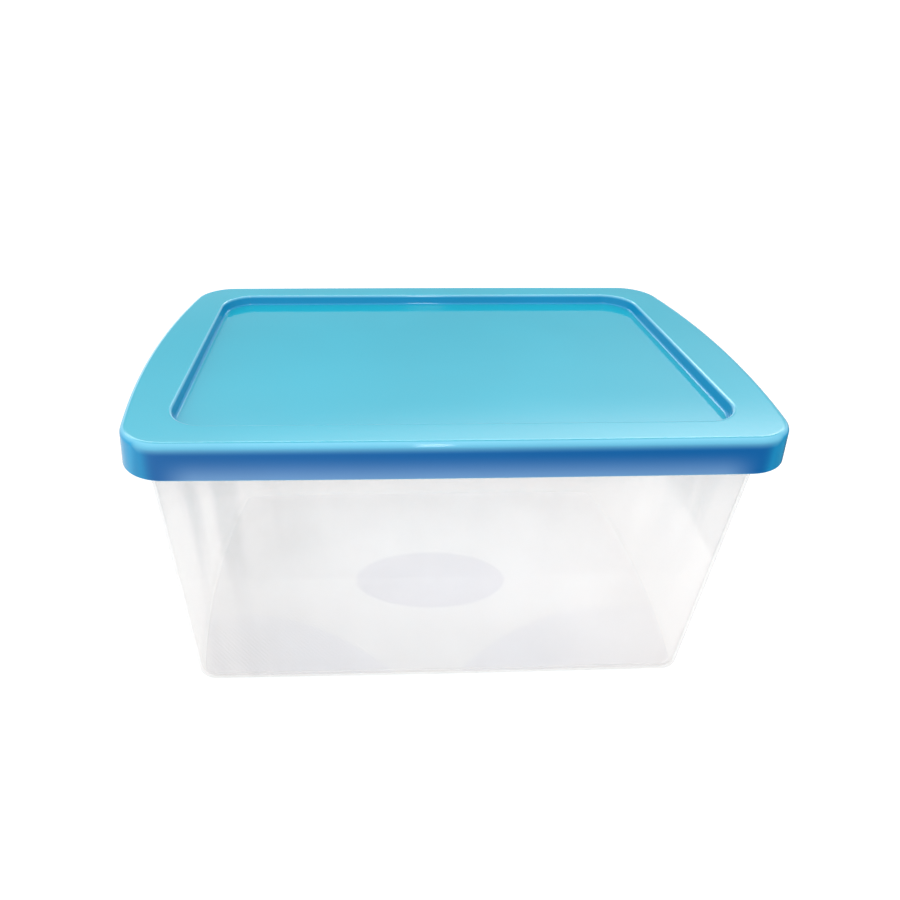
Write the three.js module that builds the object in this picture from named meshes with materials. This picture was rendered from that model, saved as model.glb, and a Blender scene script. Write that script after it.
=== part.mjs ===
// A rectangular storage box in two moulded pieces: a translucent polypropylene tub and a coloured lid
// that snaps over the tub's rim. Millimetres, +Z up, front towards -Y, standing on the plane z = 0.
//
// Both pieces are thin shells, so each is lofted as one closed skin: a list of rings that starts on the
// vertical axis on one side of the shell, runs out and around its edge, and comes back to the axis on
// the other side.

import * as THREE from "three";

// The lid's outline, seen from above. Every side bows outwards: the ends clearly, the long sides barely.
const HALF_WIDTH = 180;
const HALF_DEPTH = 113.5;
const END_BOW = 12;
const LONG_SIDE_BOW = 1.1;
const CORNER_RADIUS = 27;

// Heights.
const LID_TOP = 188;
const SKIRT_HEIGHT = 19.5;
const SKIRT_BOTTOM = LID_TOP - SKIRT_HEIGHT;

// Lid. The skirt leans in towards its top.
const LID_WALL = 1.8;
const SKIRT_LEAN = 1.8;
const LID_EDGE_RADIUS = 3.4;
const SKIRT_CHAMFER = 0.4;
const BEAD_HEIGHT = 2.4;
const BEAD_LIFT = 6.5;
const BEAD_DEPTH = 0.6;

// The panel sunk into the lid's top.
const PANEL_HALF_WIDTH = 150;
const PANEL_HALF_DEPTH = 93.5;
const PANEL_CORNER_RADIUS = 21.5;
const PANEL_SIDE_BOW = 0.2;
const PANEL_DEPTH = 6.5;
const PANEL_EDGE_RADIUS = 1.5;
const PANEL_WALL_DRAFT = 0.4;

// Tub. Insets are measured inwards from the lid's outline.
const TUB_WALL = 1.6;
const TUB_FLOOR = 2;
const WALL_INSET_TOP = 10.8;
const WALL_INSET_BOTTOM = 14.5;
const OUTER_EDGE_RADIUS = 3.5;
const INNER_EDGE_RADIUS = 3;

// The tub's rim: a flange turned out from the wall, with a lip that hangs from its edge beside the skirt.
const LID_CLEARANCE = 0.3;
const SKIRT_GAP = 0.8;
const RIM_THICKNESS = 1.6;
const LIP_DROP = 8;
const RIM_EDGE_CHAMFER = 0.8;

const RIM_TOP = LID_TOP - LID_WALL - LID_CLEARANCE;

// Segments along each arc of a quarter of an outline, and along each edge's round.
const ARC_SEGMENTS = 6;
const ROUND_SEGMENTS = 3;

/** Evenly spaced shares from 0 to 1, one more of them than there are segments. */
function shares(segments) {
  return Array.from({ length: segments + 1 }, (_, i) => i / segments);
}

/**
 * A rounded rectangle with bowed sides, as tangent arcs. It returns a function: ring(inset, z) is the
 * outline moved inwards by inset, keeping every arc's centre, as a list of points at height z.
 */
function bowedRectangle(halfWidth, halfDepth, endBow, sideBow, cornerRadius) {
  const endRadius = (halfDepth ** 2 + endBow ** 2) / (2 * endBow);
  const sideRadius = (halfWidth ** 2 + sideBow ** 2) / (2 * sideBow);
  const endCentre = new THREE.Vector2(halfWidth - endRadius, 0);
  const sideCentre = new THREE.Vector2(0, halfDepth - sideRadius);

  // The corner's centre lies where circles about the other two centres meet.
  const between = sideCentre.clone().sub(endCentre);
  const distance = between.length();
  const toEnd = endRadius - cornerRadius;
  const toSide = sideRadius - cornerRadius;
  const along = (toEnd ** 2 - toSide ** 2 + distance ** 2) / (2 * distance);
  const across = Math.sqrt(toEnd ** 2 - along ** 2);
  const unit = between.divideScalar(distance);
  const cornerCentre = endCentre.clone().addScaledVector(unit, along);
  cornerCentre.add(new THREE.Vector2(-unit.y, unit.x).multiplyScalar(across));

  const endAngle = cornerCentre.clone().sub(endCentre).angle();
  const sideAngle = cornerCentre.clone().sub(sideCentre).angle();
  const arcs = [
    { centre: endCentre, radius: endRadius, from: 0, to: endAngle },
    { centre: cornerCentre, radius: cornerRadius, from: endAngle, to: sideAngle },
    { centre: sideCentre, radius: sideRadius, from: sideAngle, to: Math.PI / 2 },
  ];

  return function ring(inset, z) {
    const quarter = [];
    for (const { centre, radius, from, to } of arcs) {
      for (const share of shares(ARC_SEGMENTS)) {
        const angle = from + (to - from) * share;
        const x = centre.x + (radius - inset) * Math.cos(angle);
        const y = centre.y + (radius - inset) * Math.sin(angle);
        quarter.push(new THREE.Vector3(x, y, z));
      }
      quarter.pop();
    }
    quarter.push(new THREE.Vector3(0, halfDepth - inset, z));
    const left = quarter.slice(0, -1).reverse().map((p) => new THREE.Vector3(-p.x, p.y, z));
    const back = [...quarter, ...left];
    const front = back.slice(1, -1).reverse().map((p) => new THREE.Vector3(p.x, -p.y, z));
    return [...back, ...front];
  };
}

/** A closed skin through rings of equally many points, closed at both ends by a fan to the axis. */
function loftedSkin(rings) {
  const count = rings[0].length;
  const points = rings.flat();
  const firstCentre = points.push(new THREE.Vector3(0, 0, rings[0][0].z)) - 1;
  const lastCentre = points.push(new THREE.Vector3(0, 0, rings.at(-1)[0].z)) - 1;
  const index = [];
  for (let i = 0; i < count; i += 1) {
    const next = (i + 1) % count;
    index.push(firstCentre, next, i);
    for (let r = 0; r + 1 < rings.length; r += 1) {
      const here = r * count;
      const there = here + count;
      index.push(here + i, here + next, there + next);
      index.push(here + i, there + next, there + i);
    }
    const last = (rings.length - 1) * count;
    index.push(lastCentre, last + i, last + next);
  }
  const geometry = new THREE.BufferGeometry().setFromPoints(points);
  geometry.setIndex(index);
  geometry.computeVertexNormals();
  return geometry;
}

const outline = bowedRectangle(HALF_WIDTH, HALF_DEPTH, END_BOW, LONG_SIDE_BOW, CORNER_RADIUS);
const panelOutline = bowedRectangle(
  PANEL_HALF_WIDTH,
  PANEL_HALF_DEPTH,
  PANEL_SIDE_BOW,
  PANEL_SIDE_BOW,
  PANEL_CORNER_RADIUS,
);

/** The inset of the skirt's outer face at height z. */
function skirtInset(z) {
  return THREE.MathUtils.mapLinear(z, SKIRT_BOTTOM, LID_TOP - LID_EDGE_RADIUS, 0, SKIRT_LEAN);
}

/** The tub: floor, bowed walls with a slight draft, and a rim with a hanging lip. */
function tubGeometry() {
  const wallInset = (z) => THREE.MathUtils.mapLinear(z, 0, RIM_TOP, WALL_INSET_BOTTOM, WALL_INSET_TOP);
  const flangeUnderside = RIM_TOP - RIM_THICKNESS;
  const lipBottom = RIM_TOP - LIP_DROP;
  const lipOuter = (z) => skirtInset(z) + LID_WALL + SKIRT_GAP;
  const lipInner = (z) => lipOuter(z) + TUB_WALL;
  const lipTop = RIM_TOP - RIM_EDGE_CHAMFER;
  const rings = [];

  // The underside, and the round up to the outer wall.
  for (const share of shares(ROUND_SEGMENTS)) {
    const angle = (share * Math.PI) / 2;
    const inset = wallInset(OUTER_EDGE_RADIUS) + OUTER_EDGE_RADIUS * (1 - Math.sin(angle));
    rings.push(outline(inset, OUTER_EDGE_RADIUS * (1 - Math.cos(angle))));
  }

  // Up the wall, out under the flange, around the lip and back over the top.
  rings.push(
    outline(wallInset(flangeUnderside), flangeUnderside),
    outline(lipInner(flangeUnderside), flangeUnderside),
    outline(lipInner(lipBottom), lipBottom),
    outline(lipOuter(lipBottom), lipBottom),
    outline(lipOuter(lipTop), lipTop),
    outline(lipOuter(lipTop) + RIM_EDGE_CHAMFER, RIM_TOP),
    outline(WALL_INSET_TOP + TUB_WALL, RIM_TOP),
  );

  // Down the inner wall and round onto the floor.
  const roundTop = TUB_FLOOR + INNER_EDGE_RADIUS;
  for (const share of shares(ROUND_SEGMENTS)) {
    const angle = (share * Math.PI) / 2;
    const inset = wallInset(roundTop) + TUB_WALL + INNER_EDGE_RADIUS * (1 - Math.cos(angle));
    rings.push(outline(inset, roundTop - INNER_EDGE_RADIUS * Math.sin(angle)));
  }
  return loftedSkin(rings);
}

/** The lid: a raised border around a sunken panel, and a skirt with a snap bead inside its lower edge. */
function lidGeometry() {
  const panelTop = LID_TOP - PANEL_DEPTH;
  const underside = LID_TOP - LID_WALL;
  const skirtInner = (z) => skirtInset(z) + LID_WALL;
  const beadBottom = SKIRT_BOTTOM + BEAD_LIFT;
  const beadMiddle = beadBottom + BEAD_HEIGHT / 2;
  const beadTop = beadBottom + BEAD_HEIGHT;
  const wallTopInset = PANEL_EDGE_RADIUS;
  const wallBottomInset = wallTopInset + PANEL_WALL_DRAFT;
  const panelEdgeInset = wallBottomInset + PANEL_EDGE_RADIUS;
  const rings = [
    // Underside, from the sunken panel out to the skirt.
    panelOutline(panelEdgeInset - LID_WALL, panelTop - LID_WALL),
    panelOutline(wallBottomInset - LID_WALL, panelTop - LID_WALL + PANEL_EDGE_RADIUS),
    panelOutline(wallTopInset - LID_WALL, underside),
    outline(skirtInner(underside), underside),

    // Down inside the skirt, over the bead, and around the lower edge.
    outline(skirtInner(beadTop), beadTop),
    outline(skirtInner(beadMiddle) + BEAD_DEPTH, beadMiddle),
    outline(skirtInner(beadBottom), beadBottom),
    outline(LID_WALL, SKIRT_BOTTOM),
    outline(SKIRT_CHAMFER, SKIRT_BOTTOM),
    outline(0, SKIRT_BOTTOM + SKIRT_CHAMFER),
  ];

  // Up the skirt and round onto the border.
  for (const share of shares(ROUND_SEGMENTS)) {
    const angle = (share * Math.PI) / 2;
    const inset = SKIRT_LEAN + LID_EDGE_RADIUS * (1 - Math.cos(angle));
    rings.push(outline(inset, LID_TOP - LID_EDGE_RADIUS * (1 - Math.sin(angle))));
  }

  // Across the border, over its inner edge and down to the panel.
  for (const share of shares(ROUND_SEGMENTS)) {
    const angle = (share * Math.PI) / 2;
    const inset = PANEL_EDGE_RADIUS * Math.sin(angle);
    rings.push(panelOutline(inset, LID_TOP - PANEL_EDGE_RADIUS * (1 - Math.cos(angle))));
  }
  for (const share of shares(ROUND_SEGMENTS)) {
    const angle = (share * Math.PI) / 2;
    const inset = wallBottomInset + PANEL_EDGE_RADIUS * (1 - Math.cos(angle));
    rings.push(panelOutline(inset, panelTop + PANEL_EDGE_RADIUS * (1 - Math.sin(angle))));
  }
  return loftedSkin(rings);
}

/** Frosted, nearly colourless polypropylene. */
function tubMaterial() {
  const color = new THREE.Color().setRGB(0.94, 0.94, 0.95, THREE.SRGBColorSpace);
  return new THREE.MeshStandardMaterial({ color, roughness: 0.35, metalness: 0, transparent: true, opacity: 0.4 });
}

/** Glossy sky-blue polypropylene. */
function lidMaterial() {
  const color = new THREE.Color().setRGB(0.3, 0.75, 0.87, THREE.SRGBColorSpace);
  return new THREE.MeshStandardMaterial({ color, roughness: 0.15, metalness: 0 });
}

/** A named sub-part of the box. */
function subPart(name, geometry, material) {
  const mesh = new THREE.Mesh(geometry, material);
  mesh.name = name;
  return mesh;
}

const box = new THREE.Group();
box.add(subPart("tub", tubGeometry(), tubMaterial()));
box.add(subPart("lid", lidGeometry(), lidMaterial()));

export default box;
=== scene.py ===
"""A translucent storage tub with a glossy blue snap lid, in a plain white studio.

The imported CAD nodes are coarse. Both are replaced by finer skins of the same shape: closed lofts through
rings that are parallel copies of one outline of tangent arcs. All sizes are in metres.
"""

import math

import bpy
from mathutils import Matrix, Vector


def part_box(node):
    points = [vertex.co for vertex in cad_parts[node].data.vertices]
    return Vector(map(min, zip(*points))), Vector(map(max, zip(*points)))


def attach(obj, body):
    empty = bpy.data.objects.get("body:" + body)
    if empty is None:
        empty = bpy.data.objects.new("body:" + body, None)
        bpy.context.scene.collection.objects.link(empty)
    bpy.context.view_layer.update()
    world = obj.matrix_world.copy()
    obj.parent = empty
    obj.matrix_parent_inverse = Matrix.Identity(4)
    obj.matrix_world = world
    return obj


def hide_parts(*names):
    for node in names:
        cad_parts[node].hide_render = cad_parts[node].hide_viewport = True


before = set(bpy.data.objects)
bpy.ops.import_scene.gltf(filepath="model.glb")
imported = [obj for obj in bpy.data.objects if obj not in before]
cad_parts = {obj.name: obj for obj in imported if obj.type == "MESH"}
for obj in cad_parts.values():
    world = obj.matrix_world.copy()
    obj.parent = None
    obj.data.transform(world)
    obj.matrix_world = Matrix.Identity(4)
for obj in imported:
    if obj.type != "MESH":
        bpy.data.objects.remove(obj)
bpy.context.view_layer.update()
LID_LOW, LID_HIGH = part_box("lid")
TUB_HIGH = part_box("tub")[1]

MM = 0.001

# The lid's outline, from above.
HALF_WIDTH = LID_HIGH[0]
HALF_DEPTH = LID_HIGH[1]
END_BOW = 12 * MM
LONG_SIDE_BOW = 1.1 * MM
CORNER_RADIUS = 27 * MM

# Lid. The skirt leans in towards its top.
LID_TOP = LID_HIGH[2]
SKIRT_BOTTOM = LID_LOW[2]
LID_WALL = 1.8 * MM
SKIRT_LEAN = 1.8 * MM
LID_EDGE_RADIUS = 3.4 * MM
SKIRT_EDGE_RADIUS = 0.5 * MM
BEAD_LIFT = 6.5 * MM
BEAD_HEIGHT = 2.4 * MM
BEAD_DEPTH = 0.6 * MM

# The panel sunk into the lid's top.
PANEL_HALF_WIDTH = 150 * MM
PANEL_HALF_DEPTH = 93.5 * MM
PANEL_CORNER_RADIUS = 21.5 * MM
PANEL_SIDE_BOW = 0.2 * MM
PANEL_DEPTH = 6.5 * MM
PANEL_EDGE_RADIUS = 1.5 * MM
PANEL_WALL_DRAFT = 0.4 * MM

# Tub.
RIM_TOP = TUB_HIGH[2]
TUB_WALL = 1.6 * MM
TUB_FLOOR = 2 * MM
WALL_INSET_TOP = 10.8 * MM
WALL_INSET_BOTTOM = 14.5 * MM
OUTER_EDGE_RADIUS = 3.5 * MM
INNER_EDGE_RADIUS = 3 * MM
SKIRT_GAP = 0.8 * MM
RIM_THICKNESS = 1.6 * MM
LIP_DROP = 8 * MM
RIM_EDGE_RADIUS = 0.8 * MM

# Colours, linear. The lid's level, skirt, corner, recess and underside blues are lit and shaded copies of
# one blue: painted light and shade.
LEVEL_LIT_BLUE = (0.0135, 0.352, 0.48, 1)
SKIRT_SHADED_BLUE = (0.004, 0.099, 0.308, 1)
SKIRT_CORNER_LIT_BLUE = (0.006, 0.22, 0.45, 1)
# Painted reflection of the bright floor, low on the skirt's long sides.
SKIRT_FLOOR_REFLECTION = (0.45, 0.72, 1.0, 1)
RECESS_SHADED_BLUE = (0.011, 0.29, 0.54, 1)
UNDERSIDE_LIT_BLUE = (0.02, 0.50, 0.78, 1)
# Painted highlight on the lid's rounded top edge and the skirt's bottom edge.
EDGE_HIGHLIGHT_BLUE = (0.15, 0.49, 0.66, 1)
WALL_WHITE = (0.90, 0.86, 0.84, 1)
# Painted shade of the lid on the upper tub walls.
WALL_TOP_SHADE = (0.80, 0.755, 0.73, 1)
# Painted shade in faint upright streaks near the tub's corners.
STREAK_SHADE_GREY = (0.58, 0.57, 0.575, 1)
FLOOR_WHITE = (0.79, 0.75, 0.738, 1)
# Painted shade of the table seen through the tub's floor where it touches it: an oval and two corner
# patches.
OVAL_CONTACT_SHADE = (0.64, 0.612, 0.65, 1)
CORNER_CONTACT_SHADE = (0.71, 0.68, 0.705, 1)
# Painted shade towards the back left of the tub's floor.
LEFT_SHADE_GREY = (0.68, 0.65, 0.64, 1)
# Painted contact shadow along the tub's bottom edge.
CONTACT_SHADOW_BROWN = (0.42, 0.35, 0.30, 1)

# Plastic.
PLASTIC_IOR = 1.49
FROST_ROUGHNESS = 0.2
WALL_OPACITY = 0.26
FLOOR_OPACITY = 0.6
LID_SPECULAR = 0.3
# How much painted floor reflection the skirt's lower part gets.
SKIRT_REFLECTION_SHARE = 0.34

# Surface texture. Scales are in cycles per metre.
BUMP_STRENGTH = 0.05
PEEL_SCALE = 260
PEEL_DEPTH = 0.2 * MM
GRAIN_SCALE = 400
GRAIN_DEPTH = 0.1 * MM
FLOW_SCALE = 9
RUBBED_SCALE = 14
CLOUD_SCALE = 25
# The pattern of the painted shade streaks on the tub walls.
STREAK_SCALE = 70
STREAK_SQUEEZE = 0.08

# Painted shade and texture of the tub's floor: darker patches where it touches the table, standing in for
# the shaded table seen through it, and painted shade towards the back left. The corner patches are bounded
# by two parabolas.
OVAL_HALF_WIDTH = 56.5 * MM
OVAL_HALF_DEPTH = 29.4 * MM
OVAL_Y = -12.4 * MM
CORNERS_X = -9.5 * MM
CORNERS_TOP_X = 132 * MM
CORNERS_SPAN = 110 * MM
CORNERS_TOP_Y = -44 * MM
CORNERS_DROP = 52 * MM
LEFT_SHADE_X = -119 * MM
LEFT_SHADE_Y = 34 * MM
TWILL_PITCH = 3 * MM
TWILL_CONTRAST = 0.08

# Studio.
OVERHEAD = 1.0
BACKDROP = 1.2
HIGH_CARD = 1.4
HIGH_CARD_CORE = 6.8
LOW_CARD = 1.6
FLOOR_GREY = (0.45, 0.45, 0.45, 1)
FLOOR_GLOW = 0.55
FLOOR_ROUGHNESS = 0.8
FLOOR_REACH = 20.0
FLOOR_GAP = 0.2 * MM
LAMP_AWAY = 2.0
LAMP_RISE = math.radians(45)
LAMP_SIZE = (0.052, 1.8)
LAMP_POWER = 3.5
LEFT_LAMP_X = 0.158
RIGHT_LAMP_X = 0.219
FILL_PLACE = (0.03, -0.02, 0.09)
FILL_SIZE = (0.26, 0.14)
FILL_POWER = 0.12

# Camera, with lens and sensor in millimetres.
SENSOR_WIDTH = 36
CLIP_START = 0.01
LENS = 26
SHIFT = (0.0661, -0.0085)
EYE = (-0.046, -0.3725, 0.3561)
YAW = math.radians(2.3)
PITCH = math.radians(32.6)
ROLL = math.radians(0.64)

# How finely the skins are cut, and where flat faces get their guard rings.
ARC_SEGMENTS = 20
ROUND_SEGMENTS = 8
WIDE_STRETCH = 3 * MM
GUARD = 0.5 * MM
CAP_SHARE = 0.995
SHARP_ANGLE = math.radians(40)
LEVEL_NORMAL = 0.999
FLOOR_TOLERANCE = 0.1 * MM


def bowed_rectangle(half_width, half_depth, end_bow, side_bow, corner_radius):
    """A rounded rectangle with bowed sides, as ring(inset, z): its outline moved inwards, at height z."""
    end_radius = (half_depth**2 + end_bow**2) / (2 * end_bow)
    side_radius = (half_width**2 + side_bow**2) / (2 * side_bow)
    end_centre = Vector((half_width - end_radius, 0))
    side_centre = Vector((0, half_depth - side_radius))
    span = side_centre - end_centre
    to_end = end_radius - corner_radius
    to_side = side_radius - corner_radius
    along = (to_end**2 - to_side**2 + span.length_squared) / (2 * span.length)
    across = math.sqrt(to_end**2 - along**2)
    unit = span.normalized()
    corner_centre = end_centre + unit * along + Vector((-unit.y, unit.x)) * across
    end_angle = math.atan2(corner_centre.y, corner_centre.x - end_centre.x)
    side_angle = math.atan2(corner_centre.y - side_centre.y, corner_centre.x)
    arcs = (
        (end_centre, end_radius, 0, end_angle),
        (corner_centre, corner_radius, end_angle, side_angle),
        (side_centre, side_radius, side_angle, math.pi / 2),
    )

    def ring(inset, z):
        quarter = []
        for centre, radius, start, stop in arcs:
            for i in range(ARC_SEGMENTS):
                angle = start + (stop - start) * i / ARC_SEGMENTS
                reach = radius - inset
                quarter.append((centre.x + reach * math.cos(angle), centre.y + reach * math.sin(angle)))
        quarter.append((0, half_depth - inset))
        left = [(-x, y) for x, y in quarter[-2::-1]]
        back = quarter + left
        front = [(x, -y) for x, y in back[-2:0:-1]]
        return [(x, y, z) for x, y in back + front]

    return ring


def between(first, second, share):
    """The ring a share of the way from the first ring to the second."""
    return [tuple(Vector(a).lerp(Vector(b), share)) for a, b in zip(first, second)]


def guarded(rings):
    """The rings, with one more near each end of every wide stretch, so that flat faces are shaded flat."""
    result = [[(x * CAP_SHARE, y * CAP_SHARE, z) for x, y, z in rings[0]], rings[0]]
    for first, second in zip(rings, rings[1:]):
        gap = (Vector(first[0]) - Vector(second[0])).length
        if gap > WIDE_STRETCH:
            result.append(between(first, second, GUARD / gap))
            result.append(between(first, second, 1 - GUARD / gap))
        result.append(second)
    result.append([(x * CAP_SHARE, y * CAP_SHARE, z) for x, y, z in rings[-1]])
    return result


def lofted_skin(name, rings):
    """A closed, smooth-shaded skin through the rings, closed by one flat face at each end."""
    rings = guarded(rings)
    count = len(rings[0])
    points = [p for ring in rings for p in ring]
    faces = [tuple(reversed(range(count)))]
    for r in range(len(rings) - 1):
        here = r * count
        for i in range(count):
            j = (i + 1) % count
            faces.append((here + i, here + j, here + count + j, here + count + i))
    last = (len(rings) - 1) * count
    faces.append(tuple(range(last, last + count)))
    mesh = bpy.data.meshes.new(name)
    mesh.from_pydata(points, [], faces)
    mesh.shade_smooth()
    mesh.set_sharp_from_angle(angle=SHARP_ANGLE)
    mesh.update()
    piece = bpy.data.objects.new(name, mesh)
    bpy.context.scene.collection.objects.link(piece)
    return piece


def rounded(count=ROUND_SEGMENTS):
    """The angles of a quarter round, from 0 to 90 degrees."""
    return [math.pi / 2 * i / count for i in range(count + 1)]


outline = bowed_rectangle(HALF_WIDTH, HALF_DEPTH, END_BOW, LONG_SIDE_BOW, CORNER_RADIUS)
panel_outline = bowed_rectangle(
    PANEL_HALF_WIDTH, PANEL_HALF_DEPTH, PANEL_SIDE_BOW, PANEL_SIDE_BOW, PANEL_CORNER_RADIUS
)


def skirt_inset(z):
    """The inset of the skirt's outer face at height z."""
    return SKIRT_LEAN * (z - SKIRT_BOTTOM) / (LID_TOP - LID_EDGE_RADIUS - SKIRT_BOTTOM)


def tub_piece():
    """Floor, bowed walls with a slight draft, and a rim with a hanging lip."""

    def wall_inset(z):
        return WALL_INSET_BOTTOM + (WALL_INSET_TOP - WALL_INSET_BOTTOM) * z / RIM_TOP

    flange_underside = RIM_TOP - RIM_THICKNESS
    lip_bottom = RIM_TOP - LIP_DROP

    def lip_outer(z):
        return skirt_inset(z) + LID_WALL + SKIRT_GAP

    lip_top = RIM_TOP - RIM_EDGE_RADIUS
    round_top = TUB_FLOOR + INNER_EDGE_RADIUS
    rings = []
    for angle in rounded():
        inset = wall_inset(OUTER_EDGE_RADIUS) + OUTER_EDGE_RADIUS * (1 - math.sin(angle))
        rings.append(outline(inset, OUTER_EDGE_RADIUS * (1 - math.cos(angle))))
    rings += [
        outline(wall_inset(flange_underside), flange_underside),
        outline(lip_outer(flange_underside) + TUB_WALL, flange_underside),
        outline(lip_outer(lip_bottom) + TUB_WALL, lip_bottom),
        outline(lip_outer(lip_bottom), lip_bottom),
    ]
    for angle in rounded(4):
        inset = lip_outer(lip_top) + RIM_EDGE_RADIUS * (1 - math.cos(angle))
        rings.append(outline(inset, RIM_TOP - RIM_EDGE_RADIUS * (1 - math.sin(angle))))
    rings.append(outline(WALL_INSET_TOP + TUB_WALL, RIM_TOP))
    for angle in rounded():
        inset = wall_inset(round_top) + TUB_WALL + INNER_EDGE_RADIUS * (1 - math.cos(angle))
        rings.append(outline(inset, round_top - INNER_EDGE_RADIUS * math.sin(angle)))
    return lofted_skin("tub_shell", rings)


def lid_piece():
    """Raised border around a sunken panel, and a skirt with a snap bead inside its lower edge."""
    panel_top = LID_TOP - PANEL_DEPTH
    underside = LID_TOP - LID_WALL
    bead_bottom = SKIRT_BOTTOM + BEAD_LIFT
    wall_bottom = PANEL_EDGE_RADIUS + PANEL_WALL_DRAFT
    rings = []
    for angle in rounded(4):
        inset = wall_bottom + PANEL_EDGE_RADIUS * (1 - math.sin(angle)) - LID_WALL
        rings.append(panel_outline(inset, panel_top - LID_WALL + PANEL_EDGE_RADIUS * (1 - math.cos(angle))))
    rings += [
        panel_outline(PANEL_EDGE_RADIUS - LID_WALL, underside),
        outline(skirt_inset(underside) + LID_WALL, underside),
    ]
    for i in range(ROUND_SEGMENTS + 1):
        share = i / ROUND_SEGMENTS
        z = bead_bottom + BEAD_HEIGHT * (1 - share)
        swell = BEAD_DEPTH * math.sin(math.pi * share)
        rings.append(outline(skirt_inset(z) + LID_WALL + swell, z))
    rings.append(outline(LID_WALL, SKIRT_BOTTOM))
    for angle in rounded(4):
        inset = SKIRT_EDGE_RADIUS * (1 - math.sin(angle))
        rings.append(outline(inset, SKIRT_BOTTOM + SKIRT_EDGE_RADIUS * (1 - math.cos(angle))))
    for angle in rounded():
        inset = SKIRT_LEAN + LID_EDGE_RADIUS * (1 - math.cos(angle))
        rings.append(outline(inset, LID_TOP - LID_EDGE_RADIUS * (1 - math.sin(angle))))
    for angle in rounded():
        inset = PANEL_EDGE_RADIUS * math.sin(angle)
        rings.append(panel_outline(inset, LID_TOP - PANEL_EDGE_RADIUS * (1 - math.cos(angle))))
    for angle in rounded():
        inset = wall_bottom + PANEL_EDGE_RADIUS * (1 - math.cos(angle))
        rings.append(panel_outline(inset, panel_top + PANEL_EDGE_RADIUS * (1 - math.sin(angle))))
    return lofted_skin("lid_shell", rings)


def add(tree, kind, settings=None, **inputs):
    """A node of this kind. Each input is a number, a colour or a socket to link from."""
    node = tree.nodes.new(kind)
    for name, value in (settings or {}).items():
        setattr(node, name, value)
    for name, value in inputs.items():
        socket = node.inputs[name.replace("_", " ")]
        if isinstance(value, bpy.types.NodeSocket):
            tree.links.new(value, socket)
        else:
            socket.default_value = value
    return node


def calculate(tree, operation, first, second=0.0):
    """The result of a Math node."""
    node = tree.nodes.new("ShaderNodeMath")
    node.operation = operation
    for socket, value in zip(node.inputs, (first, second)):
        if isinstance(value, bpy.types.NodeSocket):
            tree.links.new(value, socket)
        else:
            socket.default_value = value
    return node.outputs["Value"]


def ramp(tree, value, start, stop, low=0.0, high=1.0):
    """A smooth step: low where value is at start or before, high where it is at stop or past it."""
    smooth = {"interpolation_type": "SMOOTHSTEP"}
    node = add(tree, "ShaderNodeMapRange", smooth, Value=value, From_Min=start, From_Max=stop, To_Min=low,
               To_Max=high)
    return node.outputs["Result"]


def blend_colours(tree, share, first, second, how="MIX"):
    """The first colour with a share of the second mixed or multiplied in."""
    node = tree.nodes.new("ShaderNodeMix")
    node.data_type = "RGBA"
    node.blend_type = how
    colour_sockets = [socket for socket in node.inputs if socket.enabled]
    for socket, value in zip(colour_sockets, (share, first, second)):
        if isinstance(value, bpy.types.NodeSocket):
            tree.links.new(value, socket)
        else:
            socket.default_value = value
    return next(socket for socket in node.outputs if socket.enabled)


def new_material(name):
    """A material with one Principled shader. Returns the material, its node tree and the shader."""
    material = bpy.data.materials.new(name)
    material.use_nodes = True
    return material, material.node_tree, material.node_tree.nodes["Principled BSDF"]


def noise(tree, place, scale, detail=2.0):
    """The value of a noise texture, about 0 to 1."""
    return add(tree, "ShaderNodeTexNoise", Vector=place, Scale=scale, Detail=detail).outputs["Fac"]


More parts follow.
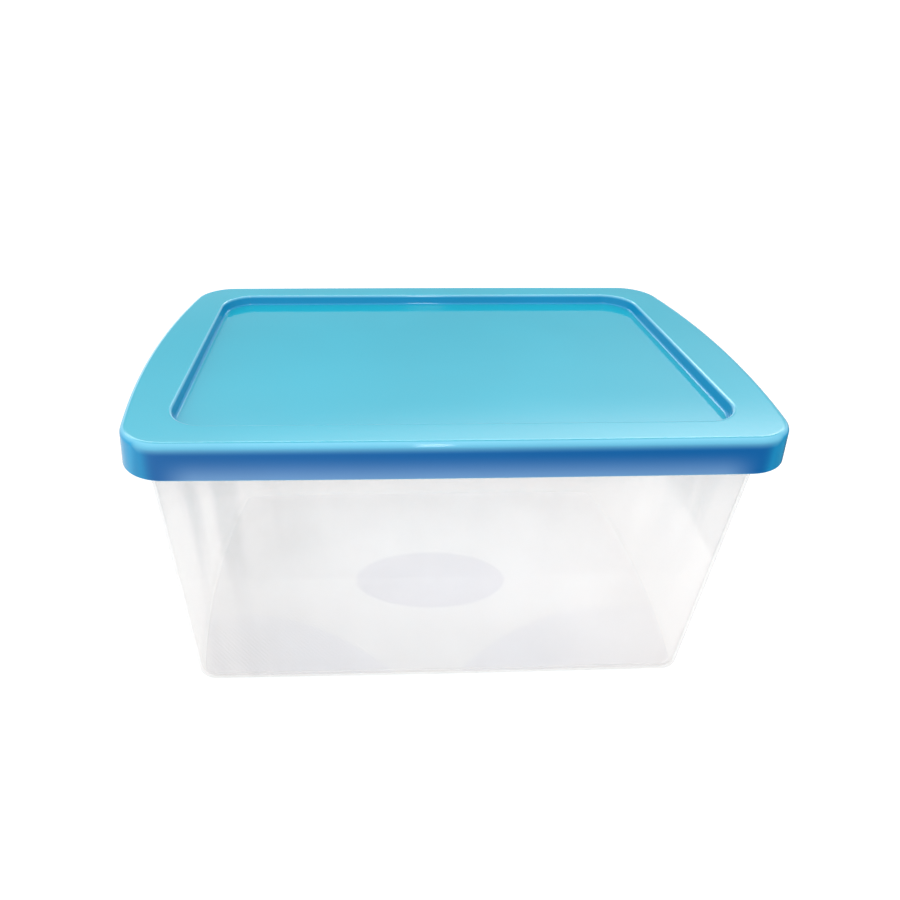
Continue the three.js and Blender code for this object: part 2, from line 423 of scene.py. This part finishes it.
def lid_material():
    """Glossy blue polypropylene, one blue in lit and shaded copies by facing (painted light and shade): pale
    on level faces, deep blue on the skirt, paler along thin edges as a painted highlight, with a painted
    reflection of the floor low on the skirt.
    """
    material, tree, shader = new_material("lid_blue_polypropylene")
    texture = tree.nodes.new("ShaderNodeTexCoord")
    place = add(tree, "ShaderNodeSeparateXYZ", Vector=texture.outputs["Object"])
    facing = add(tree, "ShaderNodeSeparateXYZ", Vector=texture.outputs["Normal"])
    x, y, z = (place.outputs[i] for i in "XYZ")
    # Level faces get the lit blue and upright faces the shaded blues: painted light and shade by facing.
    level = ramp(tree, facing.outputs["Z"], 0.92, 0.999)
    along = ramp(tree, calculate(tree, "ABSOLUTE", facing.outputs["Y"]), 0.9, 0.995)
    end_share = calculate(tree, "DIVIDE", calculate(tree, "ABSOLUTE", x), HALF_WIDTH)
    side_share = calculate(tree, "DIVIDE", calculate(tree, "ABSOLUTE", y), HALF_DEPTH)
    outer = ramp(tree, calculate(tree, "MAXIMUM", end_share, side_share), 0.93, 0.96)

    # The skirt's corners and ends get a lighter blue than its long sides: painted light.
    skirt = blend_colours(tree, along, SKIRT_CORNER_LIT_BLUE, SKIRT_SHADED_BLUE)
    # Painted reflection of the bright floor, growing towards the skirt's bottom and left off the ends.
    low = calculate(tree, "MULTIPLY", ramp(tree, z, LID_TOP - 6 * MM, SKIRT_BOTTOM - 5 * MM), along)
    low = calculate(tree, "MULTIPLY", low, ramp(tree, end_share, 0.72, 0.84, SKIRT_REFLECTION_SHARE, 0.0))
    skirt = blend_colours(tree, low, skirt, SKIRT_FLOOR_REFLECTION)
    # Painted highlight along the skirt's bottom edge.
    bottom_highlight = ramp(tree, z, SKIRT_BOTTOM + 0.9 * MM, SKIRT_BOTTOM, 0, 0.5)
    skirt = blend_colours(tree, bottom_highlight, skirt, EDGE_HIGHLIGHT_BLUE)
    # The recess walls get a shaded blue: painted shade.
    upright = blend_colours(tree, outer, RECESS_SHADED_BLUE, skirt)
    # Painted highlight near the rounded top edge, reaching further down on the outer skirt than in the
    # recess.
    highlight_reach = calculate(tree, "ADD", calculate(tree, "MULTIPLY", outer, 4 * MM), 2 * MM)
    highlight_start = calculate(tree, "SUBTRACT", LID_TOP, highlight_reach)
    upright = blend_colours(tree, ramp(tree, z, highlight_start, LID_TOP), upright, EDGE_HIGHLIGHT_BLUE)
    # Level faces take the lit blue: painted light.
    colour = blend_colours(tree, level, upright, LEVEL_LIT_BLUE)
    # The underside gets a lighter blue: painted light.
    underside = ramp(tree, facing.outputs["Z"], -0.4, -0.7)
    colour = blend_colours(tree, underside, colour, UNDERSIDE_LIT_BLUE)

    flow = ramp(tree, noise(tree, texture.outputs["Object"], FLOW_SCALE), 0.3, 0.7, 0.97, 1.03)
    tree.links.new(blend_colours(tree, 1.0, colour, flow, "MULTIPLY"), shader.inputs["Base Color"])
    rubbed = ramp(tree, noise(tree, texture.outputs["Object"], RUBBED_SCALE, 6), 0.4, 0.75, 0.07, 0.11)
    tree.links.new(rubbed, shader.inputs["Roughness"])
    shader.inputs["IOR"].default_value = PLASTIC_IOR
    shader.inputs["Specular IOR Level"].default_value = LID_SPECULAR
    peel = add(tree, "ShaderNodeBump", Height=noise(tree, texture.outputs["Object"], PEEL_SCALE),
               Strength=BUMP_STRENGTH, Distance=PEEL_DEPTH)
    tree.links.new(peel.outputs["Normal"], shader.inputs["Normal"])
    return material


def frosted(shader, opacity):
    """The gloss and the see-through share of milky polypropylene."""
    shader.inputs["Roughness"].default_value = FROST_ROUGHNESS
    shader.inputs["IOR"].default_value = PLASTIC_IOR
    shader.inputs["Alpha"].default_value = opacity


def tub_wall_material():
    """Frosted polypropylene, with faint upright streaks of painted shade strongest in the upper corners on
    the left, painted shade of the lid towards the rim, and a painted contact shadow along the bottom edge.
    """
    material, tree, shader = new_material("tub_frosted_walls")
    texture = tree.nodes.new("ShaderNodeTexCoord")
    place = add(tree, "ShaderNodeSeparateXYZ", Vector=texture.outputs["Object"])
    x, y, z = (place.outputs[i] for i in "XYZ")
    # Painted shade: faint upright streaks, strongest in the upper corners and on the left.
    stretched = add(tree, "ShaderNodeCombineXYZ", X=x, Y=y, Z=calculate(tree, "MULTIPLY", z, STREAK_SQUEEZE))
    streaks = ramp(tree, noise(tree, stretched.outputs["Vector"], STREAK_SCALE, 3), 0.42, 0.62)
    aside = calculate(tree, "DIVIDE", calculate(tree, "ABSOLUTE", x), HALF_WIDTH)
    deep = calculate(tree, "DIVIDE", calculate(tree, "ABSOLUTE", y), HALF_DEPTH)
    corner_shade = ramp(tree, calculate(tree, "ADD", aside, deep), 1.3, 1.6, 0.1, 1.0)
    upper = ramp(tree, z, 0.3 * RIM_TOP, 0.9 * RIM_TOP, 0.2, 1.0)
    corner_shade = calculate(tree, "MULTIPLY", corner_shade, upper)
    corner_shade = calculate(tree, "MULTIPLY", corner_shade, ramp(tree, x, 0.0, HALF_WIDTH, 1.0, 0.4))
    # Painted shade of the lid: the walls darken towards the rim.
    white = blend_colours(tree, ramp(tree, z, 0.7 * RIM_TOP, RIM_TOP), WALL_WHITE, WALL_TOP_SHADE)
    colour = blend_colours(tree, calculate(tree, "MULTIPLY", streaks, corner_shade), white, STREAK_SHADE_GREY)
    # Painted contact shadow along the bottom edge.
    colour = blend_colours(tree, ramp(tree, z, 1.5 * MM, 0.5 * MM, 0, 0.6), colour, CONTACT_SHADOW_BROWN)
    tree.links.new(colour, shader.inputs["Base Color"])
    grain = add(tree, "ShaderNodeBump", Height=noise(tree, texture.outputs["Object"], GRAIN_SCALE),
                Strength=BUMP_STRENGTH, Distance=GRAIN_DEPTH)
    tree.links.new(grain.outputs["Normal"], shader.inputs["Normal"])
    frosted(shader, WALL_OPACITY)
    return material


def tub_floor_material():
    """The tub's milkier floor: a fine diagonal texture, darker patches where it touches the table (painted
    shade of the table seen through it), and painted shade towards the back left.
    """
    material, tree, shader = new_material("tub_frosted_floor")
    texture = tree.nodes.new("ShaderNodeTexCoord")
    place = add(tree, "ShaderNodeSeparateXYZ", Vector=texture.outputs["Object"])
    x, y = place.outputs["X"], place.outputs["Y"]
    # Painted shade of the table seen through the floor where it touches it: an oval and two corner patches.
    across = calculate(tree, "DIVIDE", x, OVAL_HALF_WIDTH)
    deep = calculate(tree, "DIVIDE", calculate(tree, "SUBTRACT", y, OVAL_Y), OVAL_HALF_DEPTH)
    reach = calculate(tree, "SQRT", calculate(
        tree, "ADD", calculate(tree, "POWER", across, 2), calculate(tree, "POWER", deep, 2)))
    oval = ramp(tree, reach, 0.97, 1.02, 1, 0)
    aside = calculate(tree, "ABSOLUTE", calculate(tree, "SUBTRACT", x, CORNERS_X))
    edge = calculate(tree, "DIVIDE", calculate(tree, "SUBTRACT", aside, CORNERS_TOP_X), CORNERS_SPAN)
    edge = calculate(tree, "MAXIMUM", calculate(tree, "MULTIPLY", edge, -1.0), 0.0)
    drop = calculate(tree, "MULTIPLY", calculate(tree, "POWER", edge, 2), CORNERS_DROP)
    edge = calculate(tree, "SUBTRACT", CORNERS_TOP_Y, drop)
    corners = ramp(tree, calculate(tree, "SUBTRACT", y, edge), -1 * MM, 1 * MM, 1, 0)
    corners = calculate(tree, "MULTIPLY", corners, ramp(tree, aside, 60 * MM, 150 * MM, 1.0, 0.35))
    # Painted shade towards the back left of the floor.
    distance = {"operation": "DISTANCE"}
    from_left_shade = add(tree, "ShaderNodeVectorMath", distance, Vector=texture.outputs["Object"])
    from_left_shade.inputs[1].default_value = (LEFT_SHADE_X, LEFT_SHADE_Y, TUB_FLOOR)
    left_shade = ramp(tree, from_left_shade.outputs["Value"], 5 * MM, 70 * MM, 0.8, 0.0)
    twill = calculate(tree, "SINE", calculate(
        tree, "MULTIPLY", calculate(tree, "ADD", x, y), 2 * math.pi / TWILL_PITCH))
    cloud = ramp(tree, noise(tree, texture.outputs["Object"], CLOUD_SCALE, 3), 0.35, 0.65, 0.97, 1.02)
    shade = calculate(tree, "ADD", cloud, calculate(tree, "MULTIPLY", twill, TWILL_CONTRAST))
    colour = blend_colours(tree, left_shade, FLOOR_WHITE, LEFT_SHADE_GREY)
    colour = blend_colours(tree, corners, colour, CORNER_CONTACT_SHADE)
    colour = blend_colours(tree, oval, colour, OVAL_CONTACT_SHADE)
    tree.links.new(blend_colours(tree, 1.0, colour, shade, "MULTIPLY"), shader.inputs["Base Color"])
    frosted(shader, FLOOR_OPACITY)
    return material


def floor_material():
    """A pale light table, whose glow keeps the shadows soft."""
    material, tree, shader = new_material("studio_floor")
    shader.inputs["Base Color"].default_value = FLOOR_GREY
    shader.inputs["Emission Color"].default_value = (1, 1, 1, 1)
    shader.inputs["Emission Strength"].default_value = FLOOR_GLOW
    shader.inputs["Roughness"].default_value = FLOOR_ROUGHNESS
    return material


def studio_floor():
    """A pale floor, wide enough to reach the horizon. Glossy surfaces don't mirror it."""
    corners = ((-1, -1), (1, -1), (1, 1), (-1, 1))
    points = [(x * FLOOR_REACH, y * FLOOR_REACH, -FLOOR_GAP) for x, y in corners]
    mesh = bpy.data.meshes.new("studio_floor")
    mesh.from_pydata(points, [], [(0, 1, 2, 3)])
    floor = bpy.data.objects.new("studio_floor", mesh)
    mesh.materials.append(floor_material())
    bpy.context.scene.collection.objects.link(floor)
    floor.visible_glossy = False


def area_light(name, place, target, size, power):
    """A white rectangular lamp that faces the target."""
    data = bpy.data.lights.new(name, "AREA")
    data.shape = "RECTANGLE"
    data.size, data.size_y = size
    data.energy = power
    light = bpy.data.objects.new(name, data)
    direction = Vector(target) - Vector(place)
    light.matrix_world = Matrix.Translation(place) @ direction.to_track_quat("-Z", "Y").to_matrix().to_4x4()
    bpy.context.scene.collection.objects.link(light)
    return light


def mirrored_cards(tree, x, y, z):
    """Two bright cards behind the box: a wide one high up, tilted, and a weak one near the horizon."""
    low = calculate(tree, "MULTIPLY", ramp(tree, z, 0.10, 0.30, LOW_CARD, 0.0), ramp(tree, y, 0.75, 0.95))
    low = calculate(tree, "MULTIPLY", low, ramp(tree, x, 0.3, 1.0, 1.0, 0.5))
    slope = calculate(tree, "ADD", calculate(tree, "MULTIPLY", x, 0.2), 0.06)
    tilted = calculate(tree, "ADD", z, calculate(tree, "MULTIPLY", x, slope))
    veil = ramp(tree, tilted, 0.36, 0.56, 0.0, HIGH_CARD)
    core = ramp(tree, tilted, 0.49, 0.62, 0.0, HIGH_CARD_CORE)
    high = calculate(tree, "MULTIPLY", calculate(tree, "ADD", veil, core), ramp(tree, y, 0.4, 0.72))
    high = calculate(tree, "MULTIPLY", high, ramp(tree, z, 0.62, 0.8, 1.0, 0.0))
    return calculate(tree, "ADD", high, low)


def studio_world():
    """A white tent, brighter on the left and overhead, and dim below the horizon, darker on the right.

    Only glossy surfaces mirror the cards. The camera itself sees a plain white backdrop.
    """
    world = bpy.data.worlds.new("studio")
    world.use_nodes = True
    tree = world.node_tree
    texture = tree.nodes.new("ShaderNodeTexCoord")
    direction = add(tree, "ShaderNodeSeparateXYZ", Vector=texture.outputs["Generated"])
    x, y, z = (direction.outputs[i] for i in "XYZ")
    path = tree.nodes.new("ShaderNodeLightPath").outputs
    overhead = ramp(tree, z, 0.5, 1.0, 0.0, OVERHEAD)
    tent = calculate(tree, "ADD", ramp(tree, x, -1.0, 0.6, 1.1, 0.72), overhead)
    cards = calculate(tree, "MULTIPLY", mirrored_cards(tree, x, y, z), path["Is Glossy Ray"])
    light = calculate(tree, "ADD", tent, cards)
    above = ramp(tree, z, -0.06, 0.02)
    below = calculate(tree, "SUBTRACT", 1.0, above)
    under = calculate(tree, "MULTIPLY", ramp(tree, x, -0.6, 0.6, 1.0, 0.1), below)
    light = calculate(tree, "ADD", calculate(tree, "MULTIPLY", light, above), under)
    unseen = calculate(tree, "SUBTRACT", 1.0, path["Is Camera Ray"])
    backdrop = calculate(tree, "MULTIPLY", path["Is Camera Ray"], BACKDROP)
    light = calculate(tree, "ADD", calculate(tree, "MULTIPLY", light, unseen), backdrop)
    tree.links.new(light, tree.nodes["Background"].inputs["Strength"])
    tree.nodes["Background"].inputs["Color"].default_value = (1, 1, 1, 1)
    bpy.context.scene.world = world


def twin_lamps():
    """Two tall strip lights side by side in front, seen as a double glint along the lid's edges."""
    y = -HALF_DEPTH - LAMP_AWAY * math.cos(LAMP_RISE)
    z = LID_TOP + LAMP_AWAY * math.sin(LAMP_RISE)
    for side, x in (("left", LEFT_LAMP_X), ("right", RIGHT_LAMP_X)):
        area_light("lamp_" + side, (x, y, z), (x, -HALF_DEPTH, LID_TOP), LAMP_SIZE, LAMP_POWER)


def inner_fill():
    """Soft light inside the tub, where the opaque lid keeps the tent's light out."""
    below = (FILL_PLACE[0], FILL_PLACE[1], 0)
    fill = area_light("fill", FILL_PLACE, below, FILL_SIZE, FILL_POWER)
    fill.visible_camera = False
    fill.visible_glossy = False


def camera():
    """The view from above the lid and close in front, a little to the left."""
    data = bpy.data.cameras.new("camera")
    data.sensor_width = SENSOR_WIDTH
    data.lens = LENS
    data.shift_x, data.shift_y = SHIFT
    data.clip_start = CLIP_START
    aim = Matrix.Rotation(-YAW, 4, "Z") @ Matrix.Rotation(math.pi / 2 - PITCH, 4, "X")
    eye = bpy.data.objects.new("camera", data)
    eye.matrix_world = Matrix.Translation(EYE) @ aim @ Matrix.Rotation(ROLL, 4, "Z")
    bpy.context.scene.collection.objects.link(eye)
    bpy.context.scene.camera = eye


camera()
studio_floor()
studio_world()
twin_lamps()
inner_fill()
bpy.context.scene.view_settings.view_transform = "Standard"

tub = tub_piece()
tub.data.materials.append(tub_wall_material())
tub.data.materials.append(tub_floor_material())
for face in tub.data.polygons:
    is_floor = abs(face.normal.z) > LEVEL_NORMAL and face.center.z < TUB_FLOOR + FLOOR_TOLERANCE
    face.material_index = int(is_floor)
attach(tub, "tub")
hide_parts("tub")

lid = lid_piece()
lid.data.materials.append(lid_material())
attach(lid, "lid")
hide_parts("lid")
